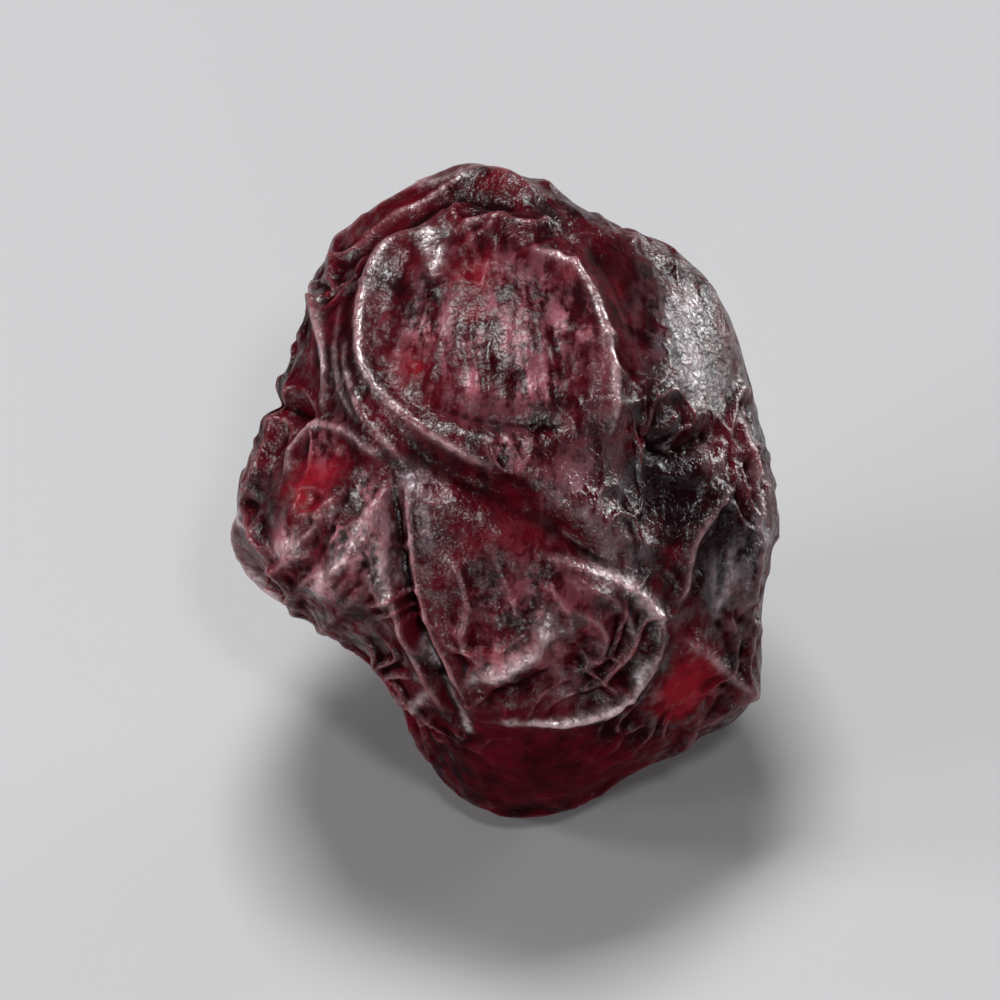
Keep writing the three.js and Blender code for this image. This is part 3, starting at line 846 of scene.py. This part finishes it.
def wrinkle_relief(facing, points, scar_distance):
    """Both nets, the fine pleats and the slanting creases, each weaker where the skin is smooth."""
    noise.seed_set(SWAY_SEED)
    clear = smoothstep(scar_distance, 1.2 * SCAR_RADIUS, 2.2 * SCAR_RADIUS)
    clear *= STRETCHED_LEFT + (1 - STRETCHED_LEFT) * smoothstep(np.abs(facing[:, 2]), 0.05, 0.45)
    calm = wrinkles_left(points) * clear
    relief = WRINKLE_HEIGHT * net_relief(facing, points, **WRINKLES) * calm
    left = CALM_CREASES + (1 - CALM_CREASES) * calm
    left *= 1 - np.minimum(patch_share(points, UNCREASED_PATCHES), 1)
    left *= BACK_CREASES + (1 - BACK_CREASES) * smoothstep(facing[:, 2], -0.4, 0.3)
    relief += CREASE_HEIGHT * net_relief(facing, points, **CREASES) * left * clear
    pleat_strength = PLEAT_STRENGTH + PANEL_PLEATS * pleated_share(points)
    relief += PLEAT_HEIGHT * fine_pleats(points) * clear * pleat_strength
    crumpled = patch_share(points, CRUMPLED_PATCHES)
    felt = crumpled > LEAST_SHARE
    relief[felt] += CRUMPLE_HEIGHT * crumpled[felt] * slanting_creases(points[felt])
    return relief


def shape_skin(facing):
    """The skin's points in the given directions, and what the finish needs to know of each."""
    points = onto_main_form(facing)
    distance, turn = scar_measures(points)
    rims = np.zeros(len(points))
    relief = scar_relief(distance, turn) + wrinkle_relief(facing, points, distance)
    for ridges, grooves in ((RIDGES, GROOVES), (FINE_RIDGES, FINE_GROOVES)):
        relief += fold_relief(points, ridges, crest_section, rims)
        relief += fold_relief(points, grooves, crease_section)
    relief = RELIEF_LIMIT * np.tanh(relief / RELIEF_LIMIT)
    stained = distance + waves_around(turn, STAIN_WAVES)
    outer_ring = bell(distance - SCAR_RADIUS, RIM_LINE_WIDTH)
    inner_ring = RING_LINE * bell(distance - RING_SHARE * SCAR_RADIUS, RING_WIDTH)
    marks = {
        "scar": 1 - smoothstep(stained, 0.95 * SCAR_RADIUS, 1.3 * SCAR_RADIUS),
        "scar_ring": np.maximum(outer_ring, inner_ring),
        "ruby": patch_share(points, RUBY_PATCHES),
        "bloom": patch_share(points, BLOOM_AND_HIGHLIGHT_PATCHES),
        "sheen": patch_share(points, SHEEN_PATCHES),
        "dark": patch_share(points, NEAR_BLACK_AND_SHADE_PATCHES),
        "dull": patch_share(points, DULL_PATCHES),
        "rim": rims,
        "streak": streak_share(points),
        "pleated": pleated_share(points),
    }
    return points + facing * relief[:, None], marks


def store(mesh, name, values):
    layer = mesh.attributes.new(name, "FLOAT", "POINT")
    layer.data.foreach_set("value", np.asarray(values, np.float32))


def bulge_of(mesh):
    """How far each corner stands out from those around it: above 0 on crests, below 0 in hollows."""
    count = len(mesh.vertices)
    places, normals = np.empty(count * 3, np.float32), np.empty(count * 3, np.float32)
    mesh.vertices.foreach_get("co", places)
    mesh.vertices.foreach_get("normal", normals)
    ends = np.empty(len(mesh.edges) * 2, np.int32)
    mesh.edges.foreach_get("vertices", ends)
    places, normals, ends = places.reshape(-1, 3), normals.reshape(-1, 3), ends.reshape(-1, 2)
    near_count = np.bincount(ends.ravel(), minlength=count)
    smooth = places.astype(float)
    for _ in range(BULGE_ROUNDS):
        total = np.zeros_like(smooth)
        for axis in range(3):
            total[:, axis] = np.bincount(ends[:, 0], smooth[ends[:, 1], axis], count)
            total[:, axis] += np.bincount(ends[:, 1], smooth[ends[:, 0], axis], count)
        smooth = 0.5 * smooth + 0.5 * total / near_count[:, None]
    return ((places - smooth) * normals).sum(1)


def make_berry():
    bm = bmesh.new()
    bmesh.ops.create_icosphere(bm, subdivisions=BALL_SUBDIVISIONS, radius=1)
    bmesh.ops.subdivide_edges(bm, edges=bm.edges[:], cuts=SKIN_CUTS, use_grid_fill=True)
    facing = crowd_to_front(unit([v.co[:] for v in bm.verts]))
    points, marks = shape_skin(facing)
    laid = lay_down(points) * MM
    laid = fit_inside(laid, np.array(cad_low), np.array(cad_high))
    for vertex, place in zip(bm.verts, laid):
        vertex.co = place
    all_axes = {"use_axis_x": True, "use_axis_y": True, "use_axis_z": True}
    bmesh.ops.smooth_vert(bm, verts=bm.verts[:], factor=SMOOTHING, **all_axes)
    for vertex in bm.verts:
        vertex.co.z = max(vertex.co.z, 0)
    bmesh.ops.recalc_face_normals(bm, faces=bm.faces[:])
    mesh = bpy.data.meshes.new("berry_skin")
    bm.to_mesh(mesh)
    bm.free()
    mesh.shade_smooth()
    for name, values in marks.items():
        store(mesh, name, values)
    own = mesh.attributes.new("own_place", "FLOAT_VECTOR", "POINT")
    own.data.foreach_set("vector", points.astype(np.float32).ravel())
    store(mesh, "bulge", bulge_of(mesh) / (BULGE_UNIT * MM))
    berry = bpy.data.objects.new("berry_skin", mesh)
    bpy.context.collection.objects.link(berry)
    return berry


class Channel:
    """One number that varies over a surface. Sums, differences and products of channels add Math nodes."""

    def __init__(self, finish, socket):
        self.finish = finish
        self.socket = socket

    def combine(self, operation, first, second):
        made = self.finish.node("ShaderNodeMath", {"operation": operation}, {0: first, 1: second})
        return Channel(self.finish, made.outputs[0])

    def __add__(self, other):
        return self.combine("ADD", self, other)

    def __radd__(self, other):
        return self.combine("ADD", other, self)

    def __sub__(self, other):
        return self.combine("SUBTRACT", self, other)

    def __rsub__(self, other):
        return self.combine("SUBTRACT", other, self)

    def __mul__(self, other):
        return self.combine("MULTIPLY", self, other)

    def __rmul__(self, other):
        return self.combine("MULTIPLY", other, self)


class Finish:
    """A material that is built up node by node."""

    def __init__(self, name):
        self.material = bpy.data.materials.new(name)
        self.material.use_nodes = True
        self.tree = self.material.node_tree
        self.tree.nodes.clear()

    def node(self, kind, settings=None, values=None):
        made = self.tree.nodes.new(kind)
        for name, value in (settings or {}).items():
            setattr(made, name, value)
        for key, value in (values or {}).items():
            source = value.socket if isinstance(value, Channel) else value
            if isinstance(source, bpy.types.NodeSocket):
                self.tree.links.new(source, made.inputs[key])
            else:
                made.inputs[key].default_value = source
        return made

    def mark(self, name):
        """A number stored on the mesh."""
        return Channel(self, self.node("ShaderNodeAttribute", {"attribute_name": name}).outputs["Fac"])

    def spread(self, value, low, high):
        """A channel stretched so that low becomes 0 and high becomes 1, and kept between them."""
        settings = {"interpolation_type": "SMOOTHSTEP"}
        values = {"Value": value, "From Min": low, "From Max": high, "To Min": 0.0, "To Max": 1.0}
        return Channel(self, self.node("ShaderNodeMapRange", settings, values).outputs["Result"])

    def cloud(self, size_mm, detail=3.0, rough=0.55):
        """Soft random patches of about this size, or of three sizes along the berry's own axes."""
        sizes = size_mm if isinstance(size_mm, tuple) else (size_mm,) * 3
        place = self.node("ShaderNodeAttribute", {"attribute_name": "own_place"}).outputs["Vector"]
        scaled = self.node("ShaderNodeVectorMath", {"operation": "DIVIDE"}, {0: place, 1: sizes})
        values = {"Vector": scaled.outputs[0], "Scale": 1.0, "Detail": detail, "Roughness": rough}
        return Channel(self, self.node("ShaderNodeTexNoise", {}, values).outputs["Fac"])

    def blend(self, share, first, second):
        """A colour between two."""
        values = {MIX_SHARE: share, MIX_FIRST: first, MIX_SECOND: second}
        return self.node("ShaderNodeMix", {"data_type": "RGBA"}, values).outputs[MIX_RESULT]

    def shader(self, values, settings=None):
        return self.node("ShaderNodeBsdfPrincipled", settings, values).outputs[0]

    def cover(self, share, under, over):
        """One shader with another over it, as far as the share says."""
        return self.node("ShaderNodeMixShader", {}, {0: share, 1: under, 2: over}).outputs[0]

    def finished(self, surface):
        self.node("ShaderNodeOutputMaterial", {}, {"Surface": surface})
        return self.material


def tone_of(name):
    return (*TONES[name], 1.0)


def skin_patterns(skin):
    """Where the skin is marked and patched, each mark broken up by soft random clouds."""
    on = SimpleNamespace()
    on.pleated = skin.mark("pleated")
    on.scar = skin.mark("scar")
    bulge = skin.mark("bulge")
    # Crests, measured from the bulge, get a paler red: partly the thin skin there, partly painted
    # highlight
    on.crest = skin.spread(bulge, 0.2, 1.3)
    # Hollows, measured from the bulge, get painted shade and less shine
    on.hollow = skin.spread(0.0 - bulge, 0.05, 0.8)
    on.patches = skin.spread(skin.cloud(2.6), 0.4, 0.62)
    on.mottle = skin.spread(skin.cloud(0.6, 4.0), 0.42, 0.68)
    on.ruby = skin.spread(skin.mark("ruby") * 2.2 * skin.cloud(0.5, 4.0), 0.25, 1.3)
    # Nearly black patches: partly the skin's own darkest tone, partly painted shade under the berry and in
    # its folds
    on.dark = skin.spread(skin.mark("dark") + skin.cloud(0.9), 0.7, 1.3)
    lengthwise = skin.cloud((0.4, 1.2, 1.2))
    flecks = lengthwise + 0.6 * skin.cloud(0.2, 5.0, 0.65) + 0.15 * on.crest
    # A pinkish bloom in patches, partly the skin's own bloom and partly painted highlight
    on.bloom = skin.mark("bloom") * skin.spread(flecks, 0.74, 0.92)
    # Painted grey sheen, a reflection laid into the colour; the same mark also makes the skin shinier
    on.sheen = skin.mark("sheen") * skin.spread(lengthwise + 0.6 * skin.cloud(0.3, 4.0), 0.7, 0.92)
    broken = skin.spread(0.5 * skin.cloud(0.25, 4.0) + 0.5 * skin.cloud(1.1, 2.0), 0.42, 0.58)
    # Pale lines along the fold crests: partly the paler thin skin, partly painted highlight
    on.rim = skin.mark("rim") * (0.08 + 0.38 * broken)
    # Painted highlight streaks
    on.streak = skin.mark("streak") * (0.18 + 0.42 * skin.spread(skin.cloud(0.2, 4.0), 0.4, 0.6))
    return on


def skin_tone(skin, on):
    """Dark burgundy with each patch, crest, hollow and line laid over it in turn, and the scar last. The
    hollows are painted shade and the near-black patches partly so; the sheen and the streaks are painted
    highlight, and the bloom, crests and rims partly so.
    """
    tone = skin.blend(on.patches, tone_of("darkest burgundy"), tone_of("burgundy"))
    layers = [
        (on.mottle * 0.35, "red mottle"),
        (on.dark * 0.95, "near black"),
        (on.ruby, "ruby"),
        (on.bloom * 0.56, "pinkish bloom"),
        (on.sheen * 0.5, "grey sheen"),
        (on.crest * 0.22, "crest"),
        (on.hollow * (0.95 - 0.35 * on.pleated), "hollow"),
        (on.rim, "rim"),
        (on.streak, "streak"),
    ]
    for share, name in layers:
        tone = skin.blend(share, tone, tone_of(name))
    fibres = skin.spread(skin.cloud(0.2, 5.0, 0.65), 0.38, 0.62)
    scar = skin.blend(fibres, tone_of("scar"), tone_of("scar fibres"))
    scar = skin.blend(skin.mark("scar_ring") * (0.15 + 0.7 * fibres), scar, tone_of("cork"))
    return skin.blend(skin.spread(on.scar * (0.6 + 0.8 * fibres), 0.3, 0.7), tone, scar)


def skin_grain(skin, on):
    """The finest wrinkles: an even grain, less of it on pleats and sheen, and threads along the berry."""
    grain = 0.4 * skin.spread(skin.cloud(0.14), 0.4, 0.62) + 0.5 * skin.cloud(0.16, 5.0, 0.6)
    grain = grain * skin.spread(1.0 - 0.45 * on.pleated - 0.45 * skin.mark("sheen"), -1.0, 1.0)
    threads = skin.cloud((0.36, 1.4, 1.4), 2.0) * (0.5 + 0.7 * on.pleated)
    values = {"Strength": 0.6, "Distance": 0.05 * MM, "Height": grain + threads}
    return skin.node("ShaderNodeBump", {}, values).outputs["Normal"]


def skin_finish():
    """Dried skin: dull in its hollows, satin elsewhere, and glazed along its crest lines and highlight
    streaks.
    """
    skin = Finish("cranberry skin")
    on = skin_patterns(skin)
    below = {
        "Base Color": skin_tone(skin, on),
        "Normal": skin_grain(skin, on),
        "Subsurface Weight": 0.3,
        "Subsurface Radius": (1.0, 0.12, 0.1),
        "Subsurface Scale": 0.4 * MM,
    }
    gloss = skin.spread(skin.cloud(0.35, 5.0), 0.35, 0.65)
    satin_roughness = 0.12 + gloss * 0.16 + on.scar * 0.3 + on.pleated * 0.08
    deep = {"subsurface_method": "RANDOM_WALK"}
    dull = skin.shader({**below, "Roughness": 0.55, "IOR": 1.08}, deep)
    satin = skin.shader({**below, "Roughness": satin_roughness, "IOR": 1.5}, deep)
    glaze = skin.shader({**below, "Roughness": 0.13 + gloss * 0.1, "IOR": 2.1}, deep)
    shiny = 0.65 + 0.4 * skin.mark("bloom") + skin.mark("sheen") + 0.6 * on.crest
    shiny = shiny + 2.0 * (on.rim + on.streak) + 2.4 * (skin.cloud(0.35, 4.0) - 0.5)
    shiny = shiny - 0.7 * on.hollow - 1.2 * skin.mark("dull") - 0.55 * on.pleated
    glaze_share = 2.2 * (on.rim + on.streak) + 0.4 * skin.mark("streak")
    surface = skin.cover(skin.spread(shiny, 0.0, 1.0), dull, satin)
    return skin.finished(skin.cover(skin.spread(glaze_share, 0.15, 1.0), surface, glaze))


def table_finish():
    table = Finish("pale table")
    return table.finished(table.shader({"Base Color": tone_of("pale table"), "Roughness": 0.6}))


def make_table():
    bm = bmesh.new()
    bmesh.ops.create_grid(bm, x_segments=1, y_segments=1, size=TABLE_HALF_WIDTH)
    mesh = bpy.data.meshes.new("table")
    bm.to_mesh(mesh)
    bm.free()
    mesh.materials.append(table_finish())
    table = bpy.data.objects.new("table", mesh)
    bpy.context.collection.objects.link(table)


def make_softbox(name, facing, width, height, power):
    """A soft light that looks at the berry from a direction."""
    lamp = bpy.data.lights.new(name, "AREA")
    lamp.shape = "RECTANGLE"
    lamp.size = width
    lamp.size_y = height
    lamp.energy = power
    box = bpy.data.objects.new(name, lamp)
    bpy.context.collection.objects.link(box)
    out = Vector(facing).normalized()
    box.location = LAMP_AIM + out * LAMP_DISTANCE
    box.rotation_euler = out.to_track_quat("Z", "Y").to_euler()


def make_camera():
    elevation = math.radians(VIEW_ELEVATION_DEG)
    aim = Vector((AIM_SHIFT, 0, (cad_low[2] + cad_high[2]) / 2))
    back = Vector((0, -math.cos(elevation), math.sin(elevation)))
    lens = bpy.data.cameras.new("camera")
    lens.lens = LENS_MM
    lens.clip_start = 0.01
    lens.clip_end = 20
    camera = bpy.data.objects.new("camera", lens)
    bpy.context.collection.objects.link(camera)
    camera.location = aim + back * CAMERA_DISTANCE
    camera.rotation_euler = back.to_track_quat("Z", "Y").to_euler()
    bpy.context.scene.camera = camera


def light_the_studio():
    world = bpy.data.worlds.new("studio")
    world.use_nodes = True
    background = world.node_tree.nodes["Background"]
    background.inputs["Color"].default_value = (1, 1, 1, 1)
    background.inputs["Strength"].default_value = ROOM_LIGHT
    bpy.context.scene.world = world
    for lamp in LAMPS:
        make_softbox(*lamp)
    bpy.context.scene.view_settings.view_transform = "Standard"


berry = make_berry()
berry.data.materials.append(skin_finish())
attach(berry, "root")
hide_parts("berry")
make_table()
make_camera()
light_the_studio()
